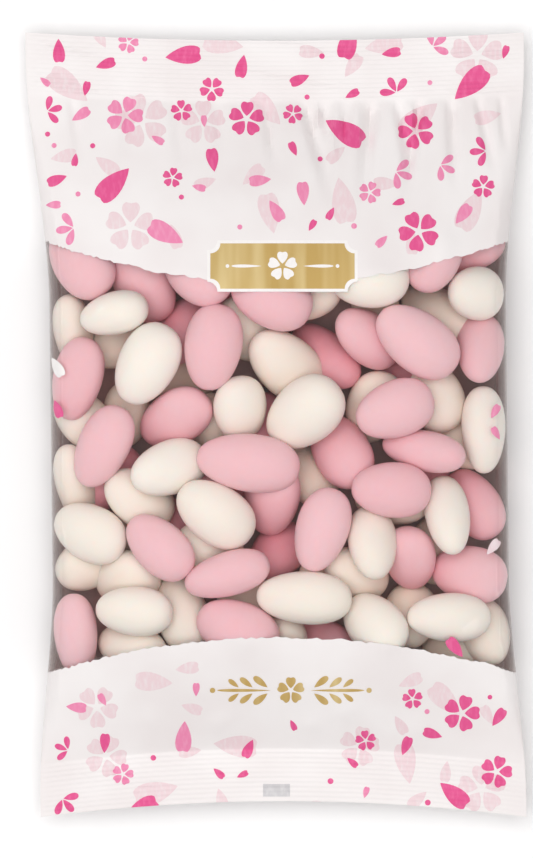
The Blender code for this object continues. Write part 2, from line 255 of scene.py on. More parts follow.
# Those seen in the window, from those against the film down to those between them: how far they may sink
# under it, their colour, and the place, length, width and turn in degrees of each.
seenAlmonds = (
    (1.5, "pink", ((-8.2, -11.4, 31, 17.2, -7),)),
    (1.5, "cream", ((8.7, 3.5, 26.4, 19.4, 40),)),
    (1.5, "pink", ((42.3, 24.9, 28.2, 18.2, -36), (35.6, 4.5, 24.2, 16.8, 20), (34.5, -19.5, 24, 16.6, -3),
        (-34.6, -36.6, 23.8, 15.4, -43), (-14.5, -44.7, 26.2, 13.2, 16),)),
    (1.5, "cream", ((-32, -13, 24.8, 16.4, 20), (-48.3, 33.2, 21.2, 12.8, 14), (-38.4, 18.1, 26, 17.6, 62),
        (-42.3, -55.8, 23.4, 14.8, -3), (51.8, -57.7, 25.6, 14.8, -2), (51.4, -27.2, 25.6, 13.4, 92),
        (28.9, -35.4, 23.6, 15, 92), (8.5, -51.7, 28.6, 16.1, -3), (28, 43.8, 24, 18.2, 3),
        (60.6, 39.3, 17.6, 16.6, 0),)),
    (6, "pink", ((-57, 13.7, 25.4, 15.2, 75), (-51.6, -6.6, 26.2, 15.8, 63), (-18.7, 23.1, 26, 17.5, 82),
        (13.8, -31.4, 25.6, 15.8, 73), (-58.2, 48.8, 25.4, 17.6, -52), (-23.4, 45.5, 24, 17.6, -45),
        (-1.2, 37.7, 25.2, 18, -22), (47, 51, 24.6, 18, 75), (-30, 1.9, 25.4, 16.8, 33),
        (-1.2, -21.6, 25.2, 17.6, 80), (44.3, -7.8, 26, 12, -12), (61.3, 22.9, 23.6, 14.4, 70),
        (40.2, -40, 20.6, 16, 100), (-11.3, -61.6, 26, 18, -25), (-60.8, -63.3, 25.4, 13.4, 92),
        (57, -44.9, 23, 17, -12),)),
    (6, "cream", ((3, 17.9, 27.6, 18.4, -42), (-10.6, 4.6, 20.8, 17, 95), (62, -1.6, 26.2, 13.6, 91),
        (-54, -32.4, 23.6, 16.8, -25), (29.7, -60, 22, 17.2, -42), (-43, -67.3, 23.6, 15.2, -8),
        (-61.6, 27.5, 24, 11.4, 90), (-61.6, -18.5, 27.2, 11.6, 88),)),
    (13, "cream", ((-18, -26.6, 25.8, 17.8, -35), (-41, -22.3, 23.6, 17.2, -35), (49, 33.8, 25.2, 16, -35),)),
    (13, "pink", ((-40.3, 43, 27, 18.4, -65), (15, 20.8, 26.6, 14.8, -45), (19.6, -7.9, 25.4, 17.4, -60),
        (60, -23.9, 23.6, 15.2, -66), (27.4, 26, 24, 16.4, -33), (58, 53, 22, 14, 20),)),
    (13, "cream", ((48.2, 8.2, 21.6, 17.2, -70), (29.6, 5.2, 23.6, 17.2, 75), (-28, -56.8, 24.6, 16, -72),
        (-44.5, -46.5, 21.6, 18, 30), (-59, -42.4, 17.6, 15.4, 30), (9.5, 39.5, 22, 16.4, 20),
        (-58.8, 1.8, 21, 15, -50), (59, -62.5, 21, 15, 100),)),
    (16, "cream", ((-45, 3, 20, 15, 80), (-19, 0, 20, 15, 80), (2, -65, 18, 14, 60), (54, -68, 20, 14, 0),)),
    (16, "pink", ((-50.5, -16.5, 24, 15.6, 48), (-27.5, 28, 22, 16, 75), (1, -38, 21, 16, 45),)),
    (16, "cream", ((-48, 24, 20, 15, 20), (-9, 29, 22, 16, -60), (-20, -37, 22, 16, -20),
        (10, -15, 22, 16, -60), (35, -22.5, 23, 15, -3), (40.5, -57.5, 20.4, 16, 80),
        (24, -44.5, 22.4, 15, -25),)),
    (16, "pink", ((14.5, -66.5, 20, 16, -15),)),
)


def almondDirections(rings=8, sides=10):
    points = [(1, 0, 0)]
    for ring in range(1, rings):
        along = math.cos(math.pi * ring / rings)
        around = math.sin(math.pi * ring / rings) ** almondForm["blunt"]
        around *= 1 + almondForm["taper"] * along
        for side in range(sides):
            angle = 2 * math.pi * (side + 0.5 * (ring % 2)) / sides
            points.append((along, around * math.cos(angle), around * math.sin(angle)))
    points.append((-1, 0, 0))
    return np.array(points)


def fullerBy(along):
    # how much wider than an ellipsoid's its section is, from -1 at one end to 1 at the other
    return (1 + almondForm["taper"] * along) * (1 - along * along) ** (almondForm["blunt"] / 2 - 0.5)


def filmTilt(x, y):
    step = 2
    slopeX = float(frontHeight(x + step, y) - frontHeight(x - step, y)) / (2 * step)
    slopeY = float(frontHeight(x, y + step) - frontHeight(x, y - step)) / (2 * step)
    slope = Vector((slopeX, slopeY, 0))
    if slope.length < 1e-6:
        return Matrix.Identity(3)
    angle = min(math.atan(slope.length), math.radians(almondForm["leanLimit"]))
    return Matrix.Rotation(angle, 3, Vector((0, 0, 1)).cross(-slope).normalized())


def isInside(points, other):
    local = (points - other["middle"]) @ other["turn"] / other["size"]
    along = np.clip(local[:, 0], -1, 1)
    around = np.hypot(local[:, 1], local[:, 2]) / (1 + almondForm["taper"] * along)
    return bool(np.any(along ** 2 + around ** (2 / almondForm["blunt"]) < almondForm["touchLimit"]))


def touches(almond, placed):
    for other in placed:
        if np.linalg.norm(other["middle"] - almond["middle"]) > almond["size"][0] + other["size"][0]:
            continue
        if isInside(almond["surface"], other) or isInside(other["surface"], almond):
            return True
    return False


def newAlmond(size, turned, colour, middle, shape):
    return {"size": size, "turn": turned, "colour": colour, "middle": middle, "surface": middle + shape}


def nearAlmonds(placed, x, y, reach):
    return [other for other in placed
            if math.hypot(other["middle"][0] - x, other["middle"][1] - y) < reach + other["size"][0]]


def tipChoices():
    tips = almondForm["tips"]
    choices = [(endways, sideways) for endways in tips for sideways in tips]
    return sorted(choices, key=lambda tip: abs(tip[0]) + abs(tip[1]))


def besideFold(x, y, shape):
    # an almond near a side fold is pressed against it
    reach = halfWidth(y) - almondForm["edgeRoom"]
    off = x - middleLine(y)
    outer = np.max(shape[:, 0]) if off > 0 else -np.min(shape[:, 0])
    if abs(off) + outer > reach - almondForm["edgePull"]:
        off = math.copysign(reach - outer, off)
    return middleLine(y) + float(off)


def roomInBag(x, y, shape):
    # lowest and highest place of an almond's middle at which all of it is inside the film
    spotX, spotY = x + shape[:, 0], y + shape[:, 1]
    gap = almondForm["filmGap"]
    if np.any(np.abs(spotX - middleLine(spotY)) > halfWidth(spotY) - gap):
        return 1.0, 0.0
    lowest = float(np.max(backHeight(spotX, spotY, gap) - shape[:, 2]))
    highest = float(np.min(frontHeight(spotX, spotY, gap) - shape[:, 2])) - almondForm["settle"]
    return lowest, highest


def turnedAlmond(size, along, endways=0, sideways=0):
    tip = Matrix.Rotation(math.radians(endways), 3, "Y") @ Matrix.Rotation(math.radians(sideways), 3, "X")
    turned = np.array(along @ tip)
    return turned, almondDirections() * size @ turned.T


def leanChoices(x, y, size, turn):
    # each lean at which it fits in the bag, with its place against the film and the room under it
    along = filmTilt(x, y) @ Matrix.Rotation(math.radians(turn), 3, "Z")
    tries, inward = almondForm["inward"]
    choices = []
    for endways, sideways in tipChoices():
        turned, shape = turnedAlmond(size, along, endways, sideways)
        spot = besideFold(x, y, shape)
        for _ in range(tries):
            lowest, highest = roomInBag(spot, y, shape)
            if lowest <= highest:
                choices.append((turned, shape, np.array((spot, y, highest)), highest - lowest))
                break
            spot -= math.copysign(inward, spot)
    return choices


def sinkAlmond(choices, deepest, size, colour, near):
    # it leans and sinks until it clears its neighbours
    sinkStep = almondForm["sinkStep"]
    for step in range(int(deepest / sinkStep) + 1):
        for turned, shape, middle, room in choices:
            if step * sinkStep > room:
                continue
            almond = newAlmond(size, turned, colour, middle - np.array((0, 0, step * sinkStep)), shape)
            if not touches(almond, near):
                return almond
    print("pressed together:", *almond["middle"][:2].round(1))
    return almond


def placeSeenAlmonds():
    # the ones on top first, each against the film or below those that are in its way
    placed = []
    for deepest, colour, almonds in seenAlmonds:
        for x, y, length, width, turn in almonds:
            thickness = max(width * almondForm["thickness"], almondForm["leastThickness"])
            size = np.array((length, width, thickness)) / 2
            near = nearAlmonds(placed, x, y, size[0] + 1)
            placed.append(sinkAlmond(leanChoices(x, y, size, turn), deepest, size, colour, near))
    return placed


def widestGap(gaps, widest=5):
    # steps are counted in from each gap's edge
    depth = gaps.astype(int)
    for _ in range(widest - 1):
        around = np.minimum(np.minimum(depth[:-2, 1:-1], depth[2:, 1:-1]),
                            np.minimum(depth[1:-1, :-2], depth[1:-1, 2:]))
        depth[1:-1, 1:-1] = np.where(depth[1:-1, 1:-1] > 0, np.minimum(around + 1, widest), 0)
    return np.unravel_index(np.argmax(depth * gaps), depth.shape)


def gapAlmond(x, y, sink, colour, placed):
    # the largest size that goes in, as high as it goes
    best = None
    for length, width in almondForm["gapSizes"]:
        size = np.array((length, width, width * almondForm["gapThickness"])) / 2
        near = nearAlmonds(placed, x, y, size[0])
        for turn in range(0, 180, almondForm["gapTurn"]):
            for tip in almondForm["gapTips"]:
                turned, shape = turnedAlmond(size, Matrix.Rotation(math.radians(turn), 3, "Z"), tip)
                lowest, height = roomInBag(x, y, shape)
                height -= sink
                while height > lowest and (best is None or height > best["middle"][2] + 1):
                    almond = newAlmond(size, turned, colour, np.array((x, y, height)), shape)
                    if not touches(almond, near):
                        best = almond
                        break
                    height -= almondForm["gapStep"]
        if best:
            break
    return best


def fillGaps(placed):
    # almonds in the gaps that are left between those seen, and under the printed ends
    chance = np.random.default_rng(almondForm["seed"])
    step = almondForm["gapGrid"]
    x, y = np.meshgrid(*(np.arange(*reach, step) for reach in almondForm["gapRange"]))
    lower, upper = windowEdges(x)
    sink = np.where((y < lower) | (y > upper), 0, almondForm["gapSink"])
    tried = np.zeros(x.shape, bool)
    seen = len(placed)
    top, _ = almondLimits(placed, x, y)
    while np.any((top < 0) & ~tried):
        spot = widestGap((top < 0) & ~tried)
        tried[spot] = True
        colour = "pink" if chance.random() < almondForm["pinkShare"] else "cream"
        almond = gapAlmond(float(x[spot]), float(y[spot]), int(sink[spot]), colour, placed)
        if almond:
            placed.append(almond)
            top = np.maximum(top, almondLimits([almond], x, y)[0])
        else:
            # its neighbours on the grid would fail too
            tried |= (np.abs(x - x[spot]) < 1.5 * step) & (np.abs(y - y[spot]) < 1.5 * step)
    print("almonds in the gaps:", len(placed) - seen)
    return placed


def modelAlmond():
    # a ball with its poles at the almond's ends, drawn out fuller towards one end
    rings = almondForm["rings"]
    bpy.ops.mesh.primitive_uv_sphere_add(segments=almondForm["sides"], ring_count=rings,
                                         radius=1, rotation=(0, math.pi / 2, 0))
    almond = bpy.context.object
    bpy.ops.object.transform_apply(location=False, rotation=True, scale=False)
    bpy.ops.object.mode_set(mode="EDIT")
    for ring in range(1, rings):
        along = math.cos(math.pi * ring / rings)
        edit = bmesh.from_edit_mesh(almond.data)
        for vert in edit.verts:
            vert.select = abs(vert.co.x - along) < 1e-4
        edit.select_flush(True)
        wider = fullerBy(along)
        bpy.ops.transform.resize(value=(1, wider, wider), center_override=(along, 0, 0))
    bpy.ops.object.mode_set(mode="OBJECT")
    bpy.ops.object.shade_smooth()
    return almond


def buildAlmonds(placed, sugar):
    model = modelAlmond()
    chance = np.random.default_rng(almondForm["colourSeed"])
    uneven, own = almondForm["uneven"], almondForm["ownColour"]
    heaps = {"pink": [], "cream": []}
    for almond in placed:
        copy = newPiece("almond", model.data.copy())
        stretch = Matrix.Diagonal((*(almond["size"] * mm), 1))
        turn = Matrix(almond["turn"].tolist()).to_4x4()
        lump = Matrix.Diagonal((1, *(1 + chance.uniform(-uneven, uneven, 2)), 1))
        copy.data.transform(Matrix.Translation(almond["middle"] * mm) @ turn @ stretch @ lump)
        # painted shade: the deeper down under the film, the fuller and darker its colour, standing in for the
        # light its neighbours throw back on it; a little of each almond's own tone is drawn at random
        spots = np.array([vert.co for vert in copy.data.vertices]) / mm
        depth = frontHeight(spots[:, 0], spots[:, 1], bagForm["wall"]) - spots[:, 2]
        paintedShade = smoothStep(*almondForm["paintedShadeDepths"], depth)
        shade = copy.data.attributes.new("shade", "FLOAT", "POINT")
        shade.data.foreach_set("value", paintedShade * (1 - own) + chance.random() * own)
        heaps[almond["colour"]].append(copy)
    bpy.data.objects.remove(model)
    for colour, copies in heaps.items():
        makeActive(*copies)
        bpy.ops.object.join()
        heap = bpy.context.object
        heap.name = colour + "Almonds"
        heap.data.materials.clear()
        heap.data.materials.append(sugar[colour])
        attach(heap, "root")
        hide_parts("almonds")


# Film

filmForm = {
    "columns": 144,
    "bodyRows": 132,
    "bodyShares": (0.17, 0.56, 0.27),  # of those rows: foot end, window, top end
    "netFrom": (-78.0, -118.0),  # the sheets are worked out on a net of 1 mm
    "netTo": (79.0, 119.0),
    "heldFrom": 0.985,  # the share of the half width from which the sheets are held
    "roundFrom": 0.94,  # and from which they keep the side fold's rounding
    "rim": (0.965, 0.992),
    "rounds": 420,  # more of them pull the front tauter between the almonds
    "backRounds": 60,
    "clearance": 0.25,
    "leastGap": 0.3,
    "highest": 34.4,
    "underside": 0.25,
    "sealHalf": 0.22,
    "ribPitch": 1.4,
    "ribHeight": 0.17,
    "tornEdge": 0.6,
    "tornParts": (0.6, 1.6),  # of it: fine and slow waves
    "slowOver": 9,
    "tornSeed": 3,
    "creaseAngle": 50,
}
# pleats pressed into the top seal: place at its lower edge, slant, half width, height
pressedPleats = (
    (-4.2, -0.02, 1.3, 0.22), (20.8, 0.03, 1.3, 0.20), (51.4, 0.36, 1.4, 0.22), (-33.0, 0.05, 1.1, 0.10),
)


def almondLimits(placed, gridX, gridY):
    # heights of the almonds' tops and undersides over each place
    top = np.full(gridX.shape, -1e3)
    bottom = np.full(gridX.shape, 1e3)
    for almond in placed:
        turn, size = almond["turn"], almond["size"]
        endForm = np.outer(turn[:, 0], turn[:, 0]) / size[0] ** 2
        roundForm = sum(np.outer(turn[:, side], turn[:, side]) / size[side] ** 2 for side in (1, 2))
        dx, dy = gridX - almond["middle"][0], gridY - almond["middle"][1]
        surfaces = []
        for sign in (1, -1):
            wider = 1.0
            # the later passes take in that one end is fuller and both are blunt
            for _ in range(3):
                form = {(i, j): endForm[i, j] + roundForm[i, j] / wider ** 2
                        for i in range(3) for j in range(i, 3)}
                half = form[0, 2] * dx + form[1, 2] * dy
                rest = form[0, 0] * dx * dx + 2 * form[0, 1] * dx * dy + form[1, 1] * dy * dy - 1
                inside = half * half - form[2, 2] * rest
                dz = (-half + sign * np.sqrt(np.maximum(inside, 0))) / form[2, 2]
                along = (dx * turn[0, 0] + dy * turn[1, 0] + dz * turn[2, 0]) / size[0]
                wider = fullerBy(np.clip(along, -0.98, 0.98))
            surfaces.append((inside > 0, almond["middle"][2] + dz))
        over, upper = surfaces[0]
        under, lower = surfaces[1]
        top = np.where(over, np.maximum(top, upper), top)
        bottom = np.where(under, np.minimum(bottom, lower), bottom)
    return top, bottom


def relax(start, limit, free, rounds):
    # a stretched sheet that lies on what is under it
    sheet = np.maximum(start, limit)
    for _ in range(rounds):
        mean = (sheet[1:-1, :-2] + sheet[1:-1, 2:] + sheet[:-2, 1:-1] + sheet[2:, 1:-1]) / 4
        inner = np.maximum(mean, limit[1:-1, 1:-1])
        sheet[1:-1, 1:-1] = np.where(free[1:-1, 1:-1], inner, sheet[1:-1, 1:-1])
    return sheet


def sample(grid, x, y):
    firstX, firstY = filmForm["netFrom"]
    column = np.clip(x - firstX, 0, grid.shape[1] - 1.001)
    row = np.clip(y - firstY, 0, grid.shape[0] - 1.001)
    left, low = column.astype(int), row.astype(int)
    fx, fy = column - left, row - low
    lower = grid[low, left] * (1 - fx) + grid[low, left + 1] * fx
    upper = grid[low + 1, left] * (1 - fx) + grid[low + 1, left + 1] * fx
    return lower * (1 - fy) + upper * fy


def filmSheets(placed):
    # both faces of the film, drawn tight over the almonds
    (firstX, firstY), (lastX, lastY) = filmForm["netFrom"], filmForm["netTo"]
    x, y = np.meshgrid(np.arange(firstX, lastX), np.arange(firstY, lastY))
    across = np.clip((x - middleLine(y)) / halfWidth(y), -1, 1)
    top, bottom = almondLimits(placed, x, y + edgeBow(y) * (1 - across ** 2))
    free = (np.abs(across) < filmForm["heldFrom"]) & (y > footSealEnd + 0.5) & (y < topSealStart - 0.5)
    rounded = np.abs(across) > filmForm["roundFrom"]
    front = np.minimum(frontHeight(x, y, sealHalf=filmForm["sealHalf"]), filmForm["highest"])
    back = backHeight(x, y, sealHalf=filmForm["sealHalf"])
    clearance = filmForm["clearance"]
    over = np.where(rounded, np.maximum(top + clearance, front), top + clearance)
    under = np.where(rounded, np.minimum(bottom - clearance, back), bottom - clearance)
    front = relax(front, over, free, filmForm["rounds"])
    back = -relax(-back, -under, free, filmForm["backRounds"])
    return front, back


def tornWindow(across):
    # the window's two edges, torn-looking as the white ink ends there
    chance = np.random.default_rng(filmForm["tornSeed"])
    fine, slow = filmForm["tornParts"]
    over = filmForm["slowOver"]
    edges = []
    for edge in windowEdges(across * bagForm["bellyWidth"] / 2):
        rough = chance.uniform(-1, 1, across.size) * fine
        wave = np.convolve(chance.uniform(-1, 1, across.size + over - 1), np.ones(over) / over, "valid")
        edges.append(edge + (rough + wave * slow) * filmForm["tornEdge"])
    return edges


def sealRows(start, depth, full):
    # rows across a seal, each with the rise or dip of its ribs
    count = round(depth / filmForm["ribPitch"]) * 4
    return [((start + depth * step / count) * full, math.sin(step * math.pi / 2)) for step in range(count + 1)]


def filmRows(across):
    # the rows of the film's net from foot to top, and the numbers of those at the window's edges
    full = np.ones(across.size)
    lowerEdge, upperEdge = tornWindow(across)
    rows = sealRows(-bagForm["length"] / 2, bagForm["footSealDepth"], full)
    borders = (footSealEnd * full, lowerEdge, upperEdge, topSealStart * full)
    starts = []
    for low, high, share in zip(borders, borders[1:], filmForm["bodyShares"]):
        starts.append(len(rows) - 1)
        count = round(filmForm["bodyRows"] * share)
        rows += [(low + (high - low) * step / count, 0) for step in range(1, count + 1)]
    rows.pop()
    rows += sealRows(topSealStart, bagForm["topSealDepth"], full)
    return rows, starts[1], starts[2]


def sealRelief(x, y, u, crimp):
    # the jaws bit unevenly, and left a few pleats pressed flat
    bite = 0.72 + 0.28 * np.sin(x * 0.11 + y * 0.6) * np.sin(x * 0.043 + 1.3)
    relief = crimp * filmForm["ribHeight"] * bite * (1 - u ** 40)
    for pleat, slant, width, height in pressedPleats:
        line = np.abs(x - pleat - slant * (y - topSealStart)) / width
        relief = relief + np.where(y > topSealStart, height * np.clip(1 - line, 0, 1), 0)
    return relief


def rowHeights(x, y, shiftedY, across, crimp, sheets, placed):
    # heights of the front and the back along one row
    u = np.abs(across)
    rim = smoothStep(*filmForm["rim"], u)
    sealed = (y <= footSealEnd + 1e-6) | (y >= topSealStart - 1e-6)
    sides = []
    for form, sheet in zip((frontHeight, backHeight), sheets):
        own = form(x, y, sealHalf=filmForm["sealHalf"])
        sides.append(np.where(sealed, own, sample(sheet, x, y) * (1 - rim) + own * rim))
    high, low = sides
    high = high - gatherRelief(x, y, fineGathers) * (1 - rim)
    relief = sealRelief(x, y, u, crimp)
    top, bottom = almondLimits(placed, x, shiftedY)
    inner = (u < 1) & ~sealed
    high = np.where(inner, np.maximum(high, top + filmForm["clearance"]), high) + relief
    low = np.where(inner, np.minimum(low, bottom - filmForm["clearance"]), low) + relief
    # a deep gather takes the back sheet down with it
    low = np.where(inner, np.minimum(low, high - filmForm["leastGap"]), low)
    low = np.maximum(low, filmForm["underside"])
    return np.clip(high, low, filmForm["highest"]), low


def buildFilm(placed, clearFilm, whitePrint):
    # A stretched film over loose almonds is worked out as a net of heights, which no primitive gives.
    sheets = filmSheets(placed)
    columns = filmForm["columns"]
    across = np.sin(np.linspace(-1, 1, columns + 1) * math.pi / 2)
    rows, windowStart, windowEnd = filmRows(across)
    points, rings = [], []
    for y, crimp in rows:
        x = middleLine(y) + across * halfWidth(y)
        shiftedY = y + edgeBow(y) * (1 - across ** 2)
        high, low = rowHeights(x, y, shiftedY, across, crimp, sheets, placed)
        start = len(points)
        points += zip(x[::-1] * mm, shiftedY[::-1] * mm, high[::-1] * mm)
        points += zip(x[1:-1] * mm, shiftedY[1:-1] * mm, low[1:-1] * mm)
        rings.append(range(start, len(points)))

    faces, kinds = [], []
    for number, (lower, upper) in enumerate(zip(rings, rings[1:])):
        kind = 0 if windowStart <= number < windowEnd else 1
        for step in range(len(lower)):
            following = (step + 1) % len(lower)
            faces.append((lower[step], lower[following], upper[following], upper[step]))
            kinds.append(kind)
    for end in (rings[0], rings[-1]):
        for step in range(columns):
            corners = dict.fromkeys((end[step], end[step + 1], end[-step - 1], end[-step]))
            faces.append(tuple(corners))
            kinds.append(1)
    film = pieceFromMesh("film", points, faces)
    film.data.materials.append(clearFilm)
    film.data.materials.append(whitePrint)
    film.data.polygons.foreach_set("material_index", kinds)
    makeActive(film)
    bpy.ops.object.mode_set(mode="EDIT")
    bpy.ops.mesh.select_all(action="SELECT")
    # triangles, so that each print has the very same surface
    bpy.ops.mesh.quads_convert_to_tris()
    bpy.ops.mesh.normals_make_consistent(inside=False)
    bpy.ops.object.mode_set(mode="OBJECT")
    bpy.ops.object.shade_smooth_by_angle(angle=math.radians(filmForm["creaseAngle"]))
    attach(film, "root")
    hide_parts("bag")
    return film


# Print

printForm = {
    "seed": 21,
    "tries": 900,
    "across": (-75, 75),
    "topEnd": (44, 117),
    "footEnd": (-117, -62),
    "sizes": (0.88, 1.12),
    "room": 1.6,  # between motifs
    "paleRoom": 0.8,
    "windowRoom": 1.5,
    "foldRoom": 0.8,
    "magentaShare": 0.72,
    "plaqueMiddle": (2.0, 47.2),
    "plaqueSize": (43.0, 13.6),
    "plaqueCorner": 3.0,
    "plaqueRim": 0.9,
    "ornamentMiddle": (4.5, -79.5),
    "ornamentLeaves": ((7.0, 5.2), (11.5, 4.6), (15.6, 3.8)),  # place and length
    "seamPatch": (-3.8, -111.8, 4.3, -108.0),
    # around the plaque, the ornament and the patch
    "keepClear": ((-21, 38.2, 25, 56.2), (-20.5, -87.5, 29.5, -63.5), (-6, -120, 6, -106)),
    "seamSides": (-4.0, 4.6),
    "seamSteps": 60,
    "cutter": (-20, 80),  # where the shapes that cut a print start, and how high they are
    "cutterRoom": 3,
    "sunk": 0.06,  # how far each print reaches into the film, so no edge stands free
    "creaseAngle": 40,
    # kind, size and how many, over the top end and the foot end
    "top": (("blossom", 6.4, 4), ("petal", 13, 6), ("blossom", 3.6, 7), ("petal", 7, 12), ("petal", 4.4, 14),
            ("spray", 4.6, 7), ("dot", 0.8, 12)),
    "foot": (("blossom", 5.6, 2), ("petal", 11, 3), ("blossom", 3.4, 3), ("petal", 6.6, 8), ("petal", 4.2, 9),
             ("spray", 4.4, 3), ("dot", 0.8, 5)),
    "paleTop": (("blossom", 8.0, 4), ("petal", 14.0, 8), ("petal", 8.0, 12)),
    "paleFoot": (("blossom", 7.0, 4), ("petal", 13.0, 5), ("petal", 7.5, 10)),
}
# petals printed over the clear part: place, length, turn, ink
windowPetals = (
    (-65.3, 17.0, 7.0, -60, "white"), (-65.2, 4.5, 6.0, -70, "magenta"), (65.6, 4.0, 5.0, 60, "pink"),
    (65.8, -2.5, 4.6, 120, "pink"), (65.0, -36.5, 6.0, 50, "pale"), (-38.0, -69.0, 6.0, 40, "magenta"),
    (53.5, -66.5, 7.6, 128, "magenta"),
)


def turnOutline(outline, degrees, x, y):
    c, s = math.cos(math.radians(degrees)), math.sin(math.radians(degrees))
    return [(x + px * c - py * s, y + px * s + py * c) for px, py in outline]


def petalOutline(length, width, notch=0.10, start=0.0):
    # pointed at its foot, round and notched at its tip
    steps = 26
    outline = []
    for step in range(steps):
        angle = 2 * math.pi * step / steps
        along = 0.5 - 0.5 * math.cos(angle)
        dip = notch * math.exp(-((angle - math.pi) / 0.36) ** 2)
        outline.append((start + length * (along - dip), -width / 2 * 1.16 * math.sin(angle) * along ** 0.42))
    return outline


def dotOutline(radius, steps=16):
    return [(radius * math.cos(2 * math.pi * step / steps), radius * math.sin(2 * math.pi * step / steps))
            for step in range(steps)]


def motifOutlines(kind, size, turn, x, y):
    if kind == "petal":
        return [turnOutline(petalOutline(size, size * 0.52, start=-size / 2), turn, x, y)]
    if kind == "dot":
        return [turnOutline(dotOutline(size), 0, x, y)]
    if kind == "spray":
        leaf = petalOutline(size, size * 0.5, 0.0, 0.35)
        return [turnOutline(leaf, turn + side, x, y) for side in (-62, 0, 62)]
    petal = petalOutline(size * 0.84, size * 0.74, 0.13, size * 0.16)
    return [turnOutline(petal, turn + 72 * number, x, y) for number in range(5)]


def isFree(x, y, reach, atTop):
    # inside the printed end, clear of the side folds and of the other prints
    lower, upper = windowEdges(x)
    room = reach + printForm["windowRoom"]
    if atTop and y < upper + room or not atTop and y > lower - room:
        return False
    if abs(x - middleLine(y)) > halfWidth(y) - reach - printForm["foldRoom"]:
        return False
    return not any(left - reach < x < right + reach and low - reach < y < high + reach
                   for left, low, right, high in printForm["keepClear"])


def scatterMotifs(chance, kinds, atTop, room):
    motifs, taken = [], []
    for kind, size, count in kinds:
        done = 0
        for _ in range(printForm["tries"]):
            if done == count:
                break
            x = chance.uniform(*printForm["across"])
            y = chance.uniform(*printForm["topEnd" if atTop else "footEnd"])
            turn = chance.uniform(0, 360)
            own = size * chance.uniform(*printForm["sizes"])
            inkShare = chance.random()
            reach = own / 2 if kind == "petal" else own
            if not isFree(x, y, reach, atTop):
                continue
            if any(math.hypot(x - thatX, y - thatY) < reach + that + room for thatX, thatY, that in taken):
                continue
            taken.append((x, y, reach))
            motifs.append((kind, own, turn, x, y, inkShare))
            done += 1
    return motifs


def printOnFilm(name, film, outlines, ink, lift, facing=1):
    # the outlines are cut out of a thin layer that follows the film's own surface
    start, tall = printForm["cutter"]
    points = [(x * mm, y * mm, start * mm) for outline in outlines for x, y in outline]
    faces, first = [], 0
    for outline in outlines:
        faces.append(range(first, first + len(outline)))
        first += len(outline)
    shapes = pieceFromMesh("outlines", points, faces)
    applyModifier(shapes, "SOLIDIFY", thickness=tall * mm, offset=1)
    layer = newPiece(name, film.data.copy())
    # only the film near a shape, on the side that is printed, is kept
    room = printForm["cutterRoom"]
    lows = np.array([np.min(outline, axis=0) for outline in outlines]) - room
    highs = np.array([np.max(outline, axis=0) for outline in outlines]) + room
    edit = bmesh.new()
    edit.from_mesh(layer.data)
    away = []
    for face in edit.faces:
        x, y, _ = face.calc_center_median() / mm
        near = np.all((lows < (x, y)) & (highs > (x, y)), axis=1)
        if face.normal.z * facing < 0.02 or not near.any():
            away.append(face)
    bmesh.ops.delete(edit, geom=away, context="FACES")
    edit.to_mesh(layer.data)
    edit.free()
    sunk = printForm["sunk"]
    applyModifier(layer, "SOLIDIFY", thickness=(lift + sunk) * mm, offset=2 * lift / (lift + sunk) - 1)
    applyModifier(layer, "BOOLEAN", operation="INTERSECT", solver="EXACT", object=shapes)
    bpy.data.objects.remove(shapes)
    layer.data.materials.clear()
    layer.data.materials.append(ink)
    layer.data.polygons.foreach_set("material_index", [0] * len(layer.data.polygons))
    makeActive(layer)
    bpy.ops.object.shade_smooth_by_angle(angle=math.radians(printForm["creaseAngle"]))
    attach(layer, "root")
    print(name, len(layer.data.polygons), "faces")
    return layer


def addBackSeam(film, clearFilm, whitePrint):
    # the strip where both edges of the film are lapped and welded, clear where the film is
    left, right = printForm["seamSides"]
    half = bagForm["length"] / 2 + 2
    heights = np.linspace(-half, half, printForm["seamSteps"])
    strip = [(right, y) for y in heights] + [(left, y) for y in heights[::-1]]
    seam = printOnFilm("backSeam", film, [strip], clearFilm, 0.12, -1)
    seam.data.materials.append(whitePrint)
    lower, upper = windowEdges(0)
    for face in seam.data.polygons:
        face.material_index = int(not lower < face.center.y / mm < upper)


def plaqueOutline(grow):
    # a plate with hollowed corners
    width, height = (side / 2 + grow for side in printForm["plaqueSize"])
    corner = printForm["plaqueCorner"]
    outline = []
    for quarter, (sideX, sideY) in enumerate(((1, 1), (-1, 1), (-1, -1), (1, -1))):
        for step in range(9):
            angle = math.pi * (1.5 + quarter / 2) - math.pi / 2 * step / 8
            outline.append((sideX * width + corner * math.cos(angle),
                            sideY * height + corner * math.sin(angle)))
    return outline


def ornamentOutlines():
    outlines = motifOutlines("blossom", 4.3, 90, 0, 0)
    for side in (0, 180):
        outlines.append(turnOutline(petalOutline(16, 1.0, 0.0, 6.0), side, 0, 0))
        outlines.append(turnOutline(dotOutline(0.8), side, *turnOutline([(23.4, 0)], side, 0, 0)[0]))
        for place, length in printForm["ornamentLeaves"]:
            for up in (1, -1):
                leaf = turnOutline(petalOutline(length, length * 0.42, 0.0), 38 * up, place, 0.95 * up)
                outlines.append(turnOutline(leaf, side, 0, 0))
    return outlines


def plaqueMark(x, y):
    outlines = motifOutlines("blossom", 4.6, 90, x, y)
    for side in (-1, 1):
        outlines.append(turnOutline(petalOutline(9.0, 1.0, 0.0, 6.2), 90 - 90 * side, x, y))
        outlines.append(turnOutline(dotOutline(0.55), 0, x + side * 16.4, y))
    return outlines


